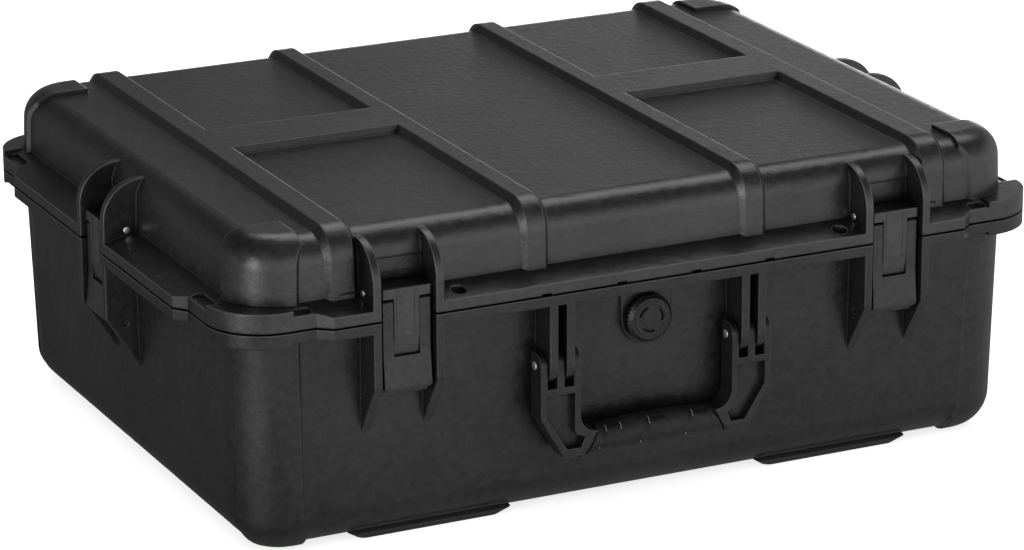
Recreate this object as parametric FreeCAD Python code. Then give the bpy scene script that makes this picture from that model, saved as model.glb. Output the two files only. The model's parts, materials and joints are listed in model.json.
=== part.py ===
import FreeCAD, Part
import math
import os

# Waterproof hard case: two moulded shells, a seal, four press-and-swing latches,
# a carrying handle, a pressure valve and two rear hinges.
# Lengths are millimetres. The front faces -Y, +Z is up and the foot pads stand on z = 0.
# Pieces are drawn about the middle of the shells. They are moved when they are saved,
# so that the origin lies under the middle of the whole case, hinge barrels included.
# An inset or overhang is measured inward from the flange's proud outline,
# and a rise or drop from the seam unless its comment names another level.

# Proud outline of the flanges and the level of the seam
flange_half_width = 300.0
flange_half_depth = 228.0
parting_height = 155.4
parting_gap = 1.4

# Flanges: inset at the corners and at the back, thick at the corners
corner_inset_x = 7.0
corner_inset_y = 7.5
flange_back_inset = 11.5
flange_corner_radius = 38.0
front_tab_end_inset = 74.0
side_tab_end_inset = 84.0
tab_chamfer_run = 9.2
base_flange_thickness = 6.75
base_corner_thickness = 9.15
lid_edge_thickness = 6.95
lid_corner_thickness = 12.55
thick_corner_inset_x = 50.0
thick_corner_inset_y = 44.0

# Blind pockets in the lid's flange between a tab's end and a thick corner
pocket_rim = 1.5
pocket_width = 7.0
pocket_radius = 2.5
# Height of a pocket's floor above the top of the flange's outer edge
pocket_floor_rise = 1.2

# Base shell
base_side_overhang = 21.5
base_front_overhang = 20.5
base_back_overhang = 22.5
base_draft = 3.0
base_back_draft = 6.5
base_corner_radius = 34.0
base_bottom_radius = 24.0
base_wall = 4.5
base_bumper_rise = 1.5
base_bumper_inset_y = 41.0
bumper_inset_x = 59.0
bumper_ramp = 5.0

# Lid shell
lid_side_overhang = 22.5
lid_front_overhang = 21.0
lid_draft = 1.5
lid_corner_radius = 34.0
lid_panel_rise = 52.3
lid_top_radius = 17.0
lid_wall = 4.5
lid_bumper_rise = 2.5
lid_bumper_inset_y = 56.0

# Stacking ribs across the lid and the bars between them
rib_rise = 5.0
rib_front_rise = 3.5
rib_flank = 4.5
rib_root = 2.0
outer_rib_inset = 88.1
outer_rib_half_width = 7.6
inner_rib_center_share = 0.37
inner_rib_half_width = 6.3
crossbar_front = -15.0
crossbar_back = 29.5
crossbar_flank = 2.0

# Foot pads, which drop into the recesses between the ribs of a case below
foot_height = 2.6
long_pad_shift = 1.85
long_pad_half_length = 50.0
long_pad_front_inset = 33.5
long_pad_back = 40.0
long_pad_draft = 7.0
long_pad_side_draft = 4.0
long_pad_radius = 6.0

# Seal: a ridge on the base presses into a ring in the lid's groove
seal_inset_x = 19.0
seal_inset_y = 18.0
seal_corner_radius = 37.0
groove_width = 6.0
groove_depth = 6.0
gasket_width = 5.6
gasket_height = 4.0
ridge_width = 3.0
seal_gap = 0.2

# Padlock holes through both flanges, beside the front latches
padlock_hole_radius = 5.0
padlock_spacing = 38.5
padlock_inward = 9.6

# Small gaps in the front seam
seam_notch_spacing = 53.4
seam_notch_half_length = 3.5
seam_notch_height = 1.0
seam_notch_depth = 4.0
seam_notch_count = 4

# Rear hinges
hinge_inset = 130.0
hinge_half_length = 40.0
lid_knuckle_half_length = 25.0
knuckle_gap = 0.5
knuckle_radius = 6.5
knuckle_clearance = 2.5
hinge_pin_radius = 2.5
hinge_web_drop = 48.0
hinge_web_rise = 30.0

# Latches: ears on both shells, a body on the base and a claw lever on the body
front_latch_inset = 124.5
side_latch_center = -1.9
ear_gap = 37.6
ear_thickness = 5.2
lid_ear_straight_rise = 22.6
lid_ear_radius = 26.0
base_ear_straight_drop = 43.9
base_ear_tip_drop = 85.9
latch_notch_depth = 11.0
wall_recess_depth = 1.5
wall_recess_rise = 34.0
catch_pin_wall_gap = 4.8
catch_pin_rise = 15.0
catch_pin_radius = 2.0
pivot_pin_wall_gap = 7.5
pivot_pin_drop = 48.9
pivot_pin_radius = 2.0
pivot_pin_recess = 1.2
lever_pin_inward = 7.0
lever_pin_rise = 5.1
lever_pin_radius = 1.4
latch_side_gap = 2.6
latch_front = 3.8
latch_depth = 6.2
latch_top_rise = 11.2
latch_lower_front = 1.6
latch_lower_depth = 4.2
latch_bend_drop = 22.4
latch_bend_radius = 12.0
# Height of the latch body's foot above the middle of its pivot pin
latch_foot_rise = 0.5
latch_floor_thickness = 4.0
latch_corner_radius = 4.0
latch_foot_radius = 3.0
latch_barrel_radius = 4.4
lever_slot_drop = 25.4
lever_half_width = 8.6
lever_side_gap = 0.4
lever_end_gap = 0.7
lever_front = 3.3
lever_thickness = 3.6
lever_crease_drop = 11.4
lever_sweep_back = 2.2
lever_band_gap = 1.7
lever_band_height = 6.9
lever_boss_radius = 3.0
claw_thickness = 2.5
claw_nose_thickness = 2.0
# The claw's tip lies this far below the middle of the catch pin
claw_tip_drop = 0.2
claw_gap = 1.2
lever_ridge_half_spacing = 6.2
lever_ridge_width = 1.6
lever_ridge_rise = 0.5

# Handle: its pivot hangs below the seam, and its other drops are measured from the pivot
handle_pivot_drop = 49.4
handle_pin_radius = 2.5
bracket_center = 69.0
bracket_rib_half_spacing = 6.0
bracket_rib_thickness = 5.6
bracket_rib_gap = 0.7
arm_half_width = 14.1
arm_front_reach = 9.5
handle_thickness = 15.0
arm_top_radius = 9.0
arm_heel_gap = 0.482
arm_slot_drop = 14.7
arm_pocket_drop = 19.3
arm_corner_drop = 34.5
handle_drop = 64.0
arm_rim = 4.0
arm_corner_run = 17.0
arm_inner_fillet = 12.0
# Hollow in the front of an arm; its floor and tip rise from the handle's bottom
arm_pocket_depth = 5.0
arm_pocket_floor_rise = 6.8
arm_pocket_floor_run = 12.0
arm_pocket_tip_rise = 13.6
arm_pocket_tip_run = 9.0
arm_pocket_run = 14.6

# Grip: a swelling sleeve between leaning seams, with a flat core inside
grip_height = 16.5
grip_swell = 4.5
grip_sag = 2.3
seam_inset = 12.5
seam_lean = 10.7
grip_core_half_height = 5.0
grip_core_half_depth = 3.5
grip_end_half_depth = 7.5
grip_mid_half_depth = 8.7
grip_station_shares = (0.0, 0.35, 0.65, 1.0)
grip_swell_shares = (0.0, 0.9, 0.9, 0.0)

# Pressure valve
valve_drop = 30.8
valve_boss_radius = 18.0
valve_boss_rise = 2.0
valve_inner_boss_rise = 2.5
valve_bore_radius = 9.0
valve_flange_radius = 13.0
valve_flange_thickness = 2.5
valve_seal_radius = 11.5
valve_seal_width = 1.6
valve_seal_depth = 1.2
valve_nut_radius = 15.0
valve_nut_thickness = 5.0
valve_stub_length = 3.0
valve_stub_radius = 5.0
knob_rise = 7.5
knob_radius = 16.0
knob_bevel = 2.4
knob_ring_inset = 2.0
knob_ring_width = 1.6
knob_ring_rise = 0.5
knob_disc_radius = 6.2
knob_disc_rise = 0.3
knob_gap = 0.4
knob_slot_radius = 9.0
knob_slot_width = 1.8
knob_slot_depth = 1.5
knob_slot_sweep = 60.0
knob_slot_start = -46.0
knob_slot_count = 3
knob_notch_count = 36
knob_notch_radius = 0.55

# Fits and construction
pin_clearance = 0.06
overrun = 20.0
tolerance = 0.001

# Derived places of the shells
base_top = parting_height - parting_gap / 2
lid_bottom = parting_height + parting_gap / 2
lid_corner_top = lid_bottom + lid_corner_thickness
lid_edge_top = lid_bottom + lid_edge_thickness
lid_panel_height = parting_height + lid_panel_rise
rib_top = lid_panel_height + rib_rise
plate_half_width = flange_half_width - corner_inset_x
plate_front_reach = flange_half_depth - corner_inset_y
flange_back_reach = flange_half_depth - flange_back_inset
base_half_width = flange_half_width - base_side_overhang
base_front_reach = flange_half_depth - base_front_overhang
base_back_reach = flange_half_depth - base_back_overhang
lid_half_width = flange_half_width - lid_side_overhang
lid_half_depth = flange_half_depth - lid_front_overhang
outer_rib_center = flange_half_width - outer_rib_inset
inner_rib_center = outer_rib_center * inner_rib_center_share
long_pad_center = (outer_rib_center + inner_rib_center) / 2 + long_pad_shift
long_pad_front = flange_half_depth - long_pad_front_inset
hinge_center = flange_half_width - hinge_inset
hinge_reach = flange_back_reach + knuckle_clearance + knuckle_radius
body_shift = (flange_half_depth - hinge_reach - knuckle_radius) / 2

# Derived places of the latches
front_latch_center = flange_half_width - front_latch_inset
padlock_center = front_latch_center - padlock_spacing
ear_root = lid_side_overhang + lid_wall
catch_pin_inward = lid_front_overhang - catch_pin_wall_gap
catch_pin_height = parting_height + catch_pin_rise
pivot_pin_inward = base_front_overhang - pivot_pin_wall_gap
pivot_pin_height = parting_height - pivot_pin_drop
lever_pin_height = parting_height + lever_pin_rise
latch_half_width = ear_gap / 2 - latch_side_gap
latch_top = parting_height + latch_top_rise
latch_bend_height = parting_height - latch_bend_drop
latch_foot_height = pivot_pin_height + latch_foot_rise
lever_slot_bottom = parting_height - lever_slot_drop
lever_bottom = lever_slot_bottom + lever_end_gap
lever_crease_height = parting_height - lever_crease_drop
lever_band_bottom = latch_top + lever_band_gap
lever_top = lever_band_bottom + lever_band_height
claw_tip_height = catch_pin_height - claw_tip_drop

# Derived places of the handle; its heel clears the sloping wall behind the pivot
handle_pivot_height = parting_height - handle_pivot_drop
wall_slope = base_draft / (base_top - foot_height)
pivot_wall_inward = base_front_overhang + wall_slope * (base_top - handle_pivot_height)
handle_pivot_inward = pivot_wall_inward - arm_heel_gap - arm_top_radius
handle_front = handle_pivot_inward - arm_front_reach
arm_slot_bottom = handle_pivot_height - arm_slot_drop
arm_pocket_top = handle_pivot_height - arm_pocket_drop
arm_corner_height = handle_pivot_height - arm_corner_drop
handle_bottom = handle_pivot_height - handle_drop
grip_top = handle_bottom + grip_height
grip_crown = grip_top + grip_swell
grip_bottom = handle_bottom - grip_sag
seam_half_length = bracket_center - arm_half_width - seam_inset

# Derived places of the valve
valve_height = parting_height - valve_drop
valve_boss_inward = base_front_overhang - valve_boss_rise
valve_nut_inward = base_front_overhang + base_wall + valve_inner_boss_rise
knob_inward = valve_boss_inward - knob_rise
knob_face_radius = knob_radius - knob_bevel
knob_ring_outer = knob_face_radius - knob_ring_inset

x_axis = FreeCAD.Vector(1, 0, 0)
y_axis = FreeCAD.Vector(0, 1, 0)
z_axis = FreeCAD.Vector(0, 0, 1)


# Drawing helpers

def vec(x, y, z):
    return FreeCAD.Vector(x, y, z)


def on_yz(x):
    return lambda point: vec(x, point.x, point.y)


def on_xz(y):
    return lambda point: vec(point.x, y, point.y)


def on_xy(z):
    return lambda point: vec(point.x, point.y, z)


def corner_run(before, here, after, radius):
    """Entry, middle and exit of the arc that rounds a corner."""
    if radius == 0:
        return here, None, here
    back = (before - here).normalize()
    ahead = (after - here).normalize()
    half_angle = back.getAngle(ahead) / 2
    reach = radius / math.tan(half_angle)
    inward = (back + ahead).normalize()
    center = here + inward * (radius / math.sin(half_angle))
    return here + back * reach, center - inward * radius, here + ahead * reach


def joined(runs, place, closed):
    """Wire of straight stretches between the corner arcs."""
    edges = []
    last = len(runs) - 1
    for index, (entry, middle, leave) in enumerate(runs):
        if middle is not None:
            edges.append(Part.Arc(place(entry), place(middle), place(leave)).toShape())
        if index == last and not closed:
            continue
        following = runs[(index + 1) % len(runs)][0]
        if leave.distanceToPoint(following) > tolerance:
            edges.append(Part.makeLine(place(leave), place(following)))
    return Part.Wire(edges)


def outline(points, place):
    """Closed wire through (u, v, corner radius) points."""
    flat = [vec(u, v, 0) for u, v, radius in points]
    runs = []
    for index, (u, v, radius) in enumerate(points):
        after = flat[(index + 1) % len(flat)]
        runs.append(corner_run(flat[index - 1], flat[index], after, radius))
    return joined(runs, place, True)


def open_path(points, place):
    """Open wire through (u, v, corner radius) points."""
    flat = [vec(u, v, 0) for u, v, radius in points]
    runs = [(flat[0], None, flat[0])]
    for index in range(1, len(flat) - 1):
        radius = points[index][2]
        runs.append(corner_run(flat[index - 1], flat[index], flat[index + 1], radius))
    runs.append((flat[-1], None, flat[-1]))
    return joined(runs, place, False)


def slab(points, place, sweep):
    return Part.Face(outline(points, place)).extrude(sweep)


def rectangle(half_x, front, back, radius, z):
    """Rounded rectangle that reaches from -front to back."""
    points = [(half_x, back, radius), (-half_x, back, radius)]
    points += [(-half_x, -front, radius), (half_x, -front, radius)]
    return outline(points, on_xy(z))


def tapered(low_wire, high_wire):
    return Part.makeLoft([low_wire, high_wire], True, True)


def box(low, high):
    size = high - low
    return Part.makeBox(size.x, size.y, size.z, low)


def rod(radius, start, end):
    along = end - start
    return Part.makeCylinder(radius, along.Length, start, along)


def fused(shapes):
    whole = shapes[0]
    for shape in shapes[1:]:
        whole = whole.fuse(shape)
    return whole


def carved(solid, cutters):
    for cutter in cutters:
        solid = solid.cut(cutter)
    return solid


def rounded_at(shape, z, radius):
    """Rounds every edge that lies in the level plane z."""
    edges = []
    for edge in shape.Edges:
        bounds = edge.BoundBox
        if abs(bounds.ZMin - z) < tolerance and abs(bounds.ZMax - z) < tolerance:
            edges.append(edge)
    return shape.makeFillet(radius, edges)


def turned(shape, angle):
    copy = shape.copy()
    copy.rotate(vec(0, 0, 0), z_axis, angle)
    return copy


def moved(shape, offset):
    copy = shape.copy()
    copy.translate(offset)
    return copy


def mirrored_pair(shape):
    return [shape, shape.mirror(vec(0, 0, 0), x_axis)]


def four_corners(shape):
    pair = mirrored_pair(shape)
    return pair + [piece.mirror(vec(0, 0, 0), y_axis) for piece in pair]


# Latch stations: turn about Z, then the middle of the flange face there.
# In a station's own frame X runs along the flange, Y goes inward and Z is up.
latch_spots = {
    "front_left": (0, vec(-front_latch_center, -flange_half_depth, 0)),
    "front_right": (0, vec(front_latch_center, -flange_half_depth, 0)),
    "side_left": (-90, vec(-flange_half_width, side_latch_center, 0)),
    "side_right": (90, vec(flange_half_width, side_latch_center, 0)),
}
front_spot = (0, vec(0, -flange_half_depth, 0))


def at_spot(shape, spot):
    angle, offset = spot
    return moved(turned(shape, angle), offset)


def cross_pin(radius, half_length, inward, height):
    return rod(radius, vec(-half_length, inward, height), vec(half_length, inward, height))


# Flanges

def flange_tabs(low, high):
    """Proud stretches of the flange along the front and both sides."""
    stations = [
        (0, flange_half_depth, flange_half_width - front_tab_end_inset, corner_inset_y),
        (-90, flange_half_width, flange_half_depth - side_tab_end_inset, corner_inset_x),
        (90, flange_half_width, flange_half_depth - side_tab_end_inset, corner_inset_x),
    ]
    tabs = []
    for angle, reach, half_length, inset in stations:
        foot = half_length + tab_chamfer_run
        points = [(-half_length, -reach, 0), (half_length, -reach, 0)]
        points += [(foot, inset - reach, 0), (foot, flange_corner_radius - reach, 0)]
        points += [(-foot, flange_corner_radius - reach, 0), (-foot, inset - reach, 0)]
        tabs.append(turned(slab(points, on_xy(low), z_axis * (high - low)), angle))
    return tabs


def flange_plate(low, high):
    wire = rectangle(plate_half_width, plate_front_reach, flange_back_reach, flange_corner_radius, low)
    return Part.Face(wire).extrude(z_axis * (high - low))


def corner_zones(inset_x, inset_y, low, high):
    near = vec(flange_half_width - inset_x, flange_half_depth - inset_y, low)
    far = vec(flange_half_width + overrun, flange_half_depth + overrun, high)
    return four_corners(box(near, far))


def bumper_zones(inset_y, wall_x, wall_y, low, high):
    """Corner blocks with leaning ends, so that a bumper rises from the wall by a ramp."""
    near_x = flange_half_width - bumper_inset_x
    near_y = flange_half_depth - inset_y
    far_x = flange_half_width + overrun
    far_y = flange_half_depth + overrun
    points = [(near_x - bumper_ramp, near_y - bumper_ramp), (near_x - bumper_ramp, wall_y - bumper_ramp)]
    points += [(near_x + bumper_ramp, wall_y + bumper_ramp), (near_x + bumper_ramp, far_y)]
    points += [(far_x, far_y), (far_x, near_y + bumper_ramp)]
    points += [(wall_x + bumper_ramp, near_y + bumper_ramp), (wall_x - bumper_ramp, near_y - bumper_ramp)]
    block = slab([(x, y, 0) for x, y in points], on_xy(low), z_axis * (high - low))
    return four_corners(block)


def slope_cutter(reach, wall, half_length):
    """Removes the flange above a slope that falls from the wall to the outer edge."""
    fall = (lid_corner_top - lid_edge_top) / (reach - wall)
    points = [(-wall, lid_corner_top, 0), (-wall, lid_corner_top + overrun, 0)]
    points += [(-reach - overrun, lid_corner_top + overrun, 0)]
    points += [(-reach - overrun, lid_edge_top - fall * overrun, 0)]
    return slab(points, on_yz(-half_length), x_axis * (2 * half_length))


def base_flange():
    low = base_top - base_flange_thickness
    ring = fused([flange_plate(low, base_top)] + flange_tabs(low, base_top))
    corner_low = base_top - base_corner_thickness
    zones = corner_zones(thick_corner_inset_x, thick_corner_inset_y, corner_low, base_top)
    thick = flange_plate(corner_low, base_top)
    return fused([ring] + [thick.common(zone) for zone in zones])


def lid_flange():
    ring = fused([flange_plate(lid_bottom, lid_corner_top)] + flange_tabs(lid_bottom, lid_corner_top))
    half_length = flange_half_width - thick_corner_inset_x
    front = slope_cutter(flange_half_depth, lid_half_depth, half_length)
    back = slope_cutter(flange_back_reach, lid_half_depth, half_length)
    side = slope_cutter(flange_half_width, lid_half_width, flange_half_depth - thick_corner_inset_y)
    return ring.cut([front, turned(back, 180), turned(side, -90), turned(side, 90)])


def flange_pocket(low_x, high_x, low_y, high_y):
    points = [(low_x, low_y, pocket_radius), (high_x, low_y, pocket_radius)]
    points += [(high_x, high_y, pocket_radius), (low_x, high_y, pocket_radius)]
    return slab(points, on_xy(lid_edge_top + pocket_floor_rise), z_axis * overrun)


def flange_pockets():
    """One pocket on each side of a front corner and one on the side of a rear corner."""
    start = flange_half_width - front_tab_end_inset + tab_chamfer_run + pocket_rim
    end = flange_half_width - thick_corner_inset_x - pocket_rim
    outer = pocket_rim - plate_front_reach
    front = mirrored_pair(flange_pocket(start, end, outer, outer + pocket_width))
    start = flange_half_depth - side_tab_end_inset + tab_chamfer_run + pocket_rim
    end = flange_half_depth - thick_corner_inset_y - pocket_rim
    outer = plate_half_width - pocket_rim
    return front + four_corners(flange_pocket(outer - pocket_width, outer, start, end))


# Shell bodies

def base_tub(grow, bottom, radius):
    """Drafted tub, larger than the plain base by grow on every side."""
    corner = base_corner_radius + grow
    low = rectangle(base_half_width - base_draft + grow, base_front_reach - base_draft + grow,
                    base_back_reach - base_back_draft + grow, corner, bottom)
    high = rectangle(base_half_width + grow, base_front_reach + grow,
                     base_back_reach + grow, corner, base_top)
    return rounded_at(tapered(low, high), bottom, radius)


def lid_dome(grow, top, radius):
    """Drafted dome, larger than the plain lid by grow on every side."""
    corner = lid_corner_radius + grow
    foot = lid_half_depth + grow
    crown = foot - lid_draft
    low = rectangle(lid_half_width + grow, foot, foot, corner, lid_bottom)
    high = rectangle(lid_half_width - lid_draft + grow, crown, crown, corner, top)
    return rounded_at(tapered(low, high), top, radius)


def lid_ear():
    """Curved fin in a station's frame, drawn on its inner face."""
    top = parting_height + lid_ear_straight_rise + lid_ear_radius
    points = [(0, lid_bottom, 0), (0, top, lid_ear_radius)]
    points += [(ear_root + lid_ear_radius, top, 0), (ear_root, lid_bottom, 0)]
    return slab(points, on_yz(ear_gap / 2), x_axis * ear_thickness)


def base_ear():
    points = [(0, base_top, 0), (0, parting_height - base_ear_straight_drop, ear_thickness)]
    points += [(ear_root, parting_height - base_ear_tip_drop, 0), (ear_root, base_top, 0)]
    return slab(points, on_yz(ear_gap / 2), x_axis * ear_thickness)


def ears_at_spots(ear):
    ears = []
    for spot in latch_spots.values():
        ears += [at_spot(piece, spot) for piece in mirrored_pair(ear)]
    return ears


def latch_notches(low, high):
    notch = box(vec(-ear_gap / 2, -overrun, low), vec(ear_gap / 2, latch_notch_depth, high))
    return [at_spot(notch, spot) for spot in latch_spots.values()]


def ear_bores(radius, inward, height):
    bore = cross_pin(radius + pin_clearance, ear_gap / 2 + overrun, inward, height)
    return [at_spot(bore, spot) for spot in latch_spots.values()]


def padlock_bores(low, high):
    front = padlock_inward - flange_half_depth
    bore = rod(padlock_hole_radius, vec(padlock_center, front, low), vec(padlock_center, front, high))
    return mirrored_pair(bore)


def seal_ring(width, low, high):
    """Square-section ring on the seal's line."""
    rings = []
    for side in (1, -1):
        grow = side * width / 2
        half_width = flange_half_width - seal_inset_x + grow
        reach = flange_half_depth - seal_inset_y + grow
        wire = rectangle(half_width, reach, reach, seal_corner_radius + grow, low)
        rings.append(Part.Face(wire).extrude(z_axis * (high - low)))
    return rings[0].cut(rings[1])


def hinge_stations(shape):
    return mirrored_pair(moved(shape, vec(hinge_center, 0, 0)))


def knuckle(web, start, end):
    """Barrel on the hinge axis with the web that carries it."""
    near = vec(start, hinge_reach, parting_height)
    barrel = rod(knuckle_radius, near, near + x_axis * (end - start))
    return barrel.fuse(slab(web, on_yz(start), x_axis * (end - start)))


def base_knuckles():
    foot = base_back_reach - base_wall / 2
    web = [(foot, base_top, 0), (foot, base_top - hinge_web_drop, 0)]
    web += [(hinge_reach + knuckle_radius, parting_height - knuckle_radius, knuckle_radius)]
    web += [(hinge_reach + knuckle_radius, parting_height, 0), (hinge_reach, parting_height, 0)]
    web += [(hinge_reach, base_top, 0)]
    inner = lid_knuckle_half_length + knuckle_gap
    knuckles = []
    for start, end in ((-hinge_half_length, -inner), (inner, hinge_half_length)):
        knuckles += hinge_stations(knuckle(web, start, end))
    return knuckles


def lid_knuckles():
    foot = lid_half_depth - lid_wall / 2
    web = [(foot, lid_bottom, 0), (foot, lid_bottom + hinge_web_rise, 0)]
    web += [(hinge_reach, parting_height + knuckle_radius, knuckle_radius)]
    web += [(hinge_reach + knuckle_radius, lid_bottom, 0)]
    return hinge_stations(knuckle(web, -lid_knuckle_half_length, lid_knuckle_half_length))


def hinge_bores(radius):
    bore = cross_pin(radius, hinge_half_length + overrun, hinge_reach, parting_height)
    return hinge_stations(bore)


# Base shell details

def bracket_ribs():
    """Two plates per handle arm, rounded about the handle's pivot."""
    low = handle_pivot_height - handle_pivot_inward
    points = [(0, base_top, 0), (0, low, handle_pivot_inward)]
    points += [(ear_root, low, 0), (ear_root, base_top, 0)]
    ribs = []
    for side in (-1, 1):
        start = bracket_center + side * bracket_rib_half_spacing - bracket_rib_thickness / 2
        ribs += mirrored_pair(slab(points, on_yz(start), x_axis * bracket_rib_thickness))
    return [at_spot(rib, front_spot) for rib in ribs]


def valve_boss():
    low = valve_height - valve_boss_radius
    points = [(valve_boss_radius, base_top, 0), (-valve_boss_radius, base_top, 0)]
    points += [(-valve_boss_radius, low, valve_boss_radius - tolerance)]
    points += [(valve_boss_radius, low, valve_boss_radius - tolerance)]
    pad = slab(points, on_xz(valve_boss_inward), y_axis * (valve_nut_inward - valve_boss_inward))
    return at_spot(pad, front_spot)


def foot_pads():
    """Four long pads under the base; the corner bumpers stand at the same level."""
    root = foot_height + base_wall / 2
    half_depth = (long_pad_front - long_pad_back) / 2
    low = rectangle(long_pad_half_length, half_depth, half_depth, long_pad_radius, 0)
    high_depth = half_depth + long_pad_side_draft
    high = rectangle(long_pad_half_length + long_pad_draft, high_depth, high_depth, long_pad_radius, root)
    return four_corners(moved(tapered(low, high), vec(long_pad_center, long_pad_back + half_depth, 0)))


def seam_notches():
    """Row of small gaps along the front seam, cut into the lid's edge."""
    notches = []
    for index in range(seam_notch_count):
        middle = seam_notch_spacing * (index - (seam_notch_count - 1) / 2)
        low = vec(middle - seam_notch_half_length, -overrun, lid_bottom - overrun)
        high = vec(middle + seam_notch_half_length, seam_notch_depth, lid_bottom + seam_notch_height)
        notches.append(at_spot(box(low, high), front_spot))
    return notches


def base_shell():
    tub = base_tub(0, foot_height, base_bottom_radius)
    bumper = base_tub(base_bumper_rise, 0, base_bottom_radius + base_bumper_rise)
    zones = bumper_zones(base_bumper_inset_y, base_half_width, base_front_reach, 0, base_top)
    outside = [tub, base_flange(), valve_boss()]
    outside += [bumper.common(zone) for zone in zones]
    outside += ears_at_spots(base_ear()) + bracket_ribs() + base_knuckles() + foot_pads()
    ridge_height = parting_gap + groove_depth - gasket_height - seal_gap
    outside.append(seal_ring(ridge_width, base_top, base_top + ridge_height))
    solid = fused(outside)
    cavity = base_tub(-base_wall, foot_height + base_wall, base_bottom_radius - base_wall)
    inner_boss = rod(valve_boss_radius, vec(0, 0, valve_height), vec(0, valve_nut_inward, valve_height))
    cavity = cavity.cut(at_spot(inner_boss, front_spot))
    valve_bore = rod(valve_bore_radius, vec(0, 0, valve_height), vec(0, ear_root + overrun, valve_height))
    handle_bore = cross_pin(handle_pin_radius + pin_clearance, bracket_center + overrun,
                            handle_pivot_inward, handle_pivot_height)
    cuts = [cavity, at_spot(valve_bore, front_spot), at_spot(handle_bore, front_spot)]
    cuts += latch_notches(base_top - base_flange_thickness - tolerance, base_top + overrun)
    cuts += ear_bores(pivot_pin_radius, pivot_pin_inward, pivot_pin_height)
    cuts += padlock_bores(base_top - overrun, base_top + overrun)
    cuts += hinge_bores(hinge_pin_radius + pin_clearance)
    return carved(solid, cuts).removeSplitter()


# Lid shell details

def stacking_rib(center, half_width):
    """Trapezoid swept up the front wall, over the lid and down the back wall."""
    low_reach = lid_half_depth + rib_front_rise
    high_reach = low_reach - lid_draft
    crown_radius = lid_top_radius + rib_front_rise
    start_height = lid_bottom + lid_edge_thickness / 2
    points = [(-low_reach, start_height, 0), (-high_reach, rib_top, crown_radius)]
    points += [(high_reach, rib_top, crown_radius), (low_reach, start_height, 0)]
    path = open_path(points, on_yz(center))
    root_depth = rib_rise + rib_root
    root_half_width = half_width + rib_flank * root_depth / rib_rise
    section = [(-half_width, -low_reach, 0), (half_width, -low_reach, 0)]
    section += [(root_half_width, root_depth - low_reach, 0)]
    section += [(-root_half_width, root_depth - low_reach, 0)]
    profile = moved(outline(section, on_xy(start_height)), vec(center, 0, 0))
    return path.makePipeShell([profile], True, False)


def crossbar():
    root = lid_panel_height - rib_root
    spread = crossbar_flank * (rib_rise + rib_root) / rib_rise
    points = [(crossbar_front, rib_top, 0), (crossbar_back, rib_top, 0)]
    points += [(crossbar_back + spread, root, 0), (crossbar_front - spread, root, 0)]
    return slab(points, on_yz(inner_rib_center), x_axis * (outer_rib_center - inner_rib_center))


def wall_recesses():
    """Shallow clearance in the lid wall behind each claw."""
    recesses = []
    for name, spot in latch_spots.items():
        overhang = lid_side_overhang if name.startswith("side") else lid_front_overhang
        low = vec(-ear_gap / 2, -overrun, lid_corner_top)
        high = vec(ear_gap / 2, overhang + wall_recess_depth, parting_height + wall_recess_rise)
        recesses.append(at_spot(box(low, high), spot))
    return recesses


def lid_shell():
    dome = lid_dome(0, lid_panel_height, lid_top_radius)
    bumper_top = lid_panel_height + lid_bumper_rise
    bumper = lid_dome(lid_bumper_rise, bumper_top, lid_top_radius + lid_bumper_rise)
    zones = bumper_zones(lid_bumper_inset_y, lid_half_width, lid_half_depth, lid_bottom, rib_top)
    flange = lid_flange().cut(latch_notches(lid_bottom, rib_top) + flange_pockets())
    outside = [dome.cut(wall_recesses()), flange]
    outside += [bumper.common(zone) for zone in zones]
    outside += mirrored_pair(stacking_rib(outer_rib_center, outer_rib_half_width))
    outside += mirrored_pair(stacking_rib(inner_rib_center, inner_rib_half_width))
    outside += mirrored_pair(crossbar()) + ears_at_spots(lid_ear()) + lid_knuckles()
    solid = fused(outside)
    cavity = lid_dome(-lid_wall, lid_panel_height - lid_wall, lid_top_radius - lid_wall)
    cuts = [cavity, seal_ring(groove_width, lid_bottom, lid_bottom + groove_depth)] + seam_notches()
    cuts += ear_bores(catch_pin_radius, catch_pin_inward, catch_pin_height)
    cuts += padlock_bores(lid_bottom - overrun, lid_bottom + overrun)
    cuts += hinge_bores(hinge_pin_radius + pin_clearance)
    return carved(solid, cuts)


def lid_gasket():
    high = lid_bottom + groove_depth
    return seal_ring(gasket_width, high - gasket_height, high)


# Latch pieces, in a station's frame

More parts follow.
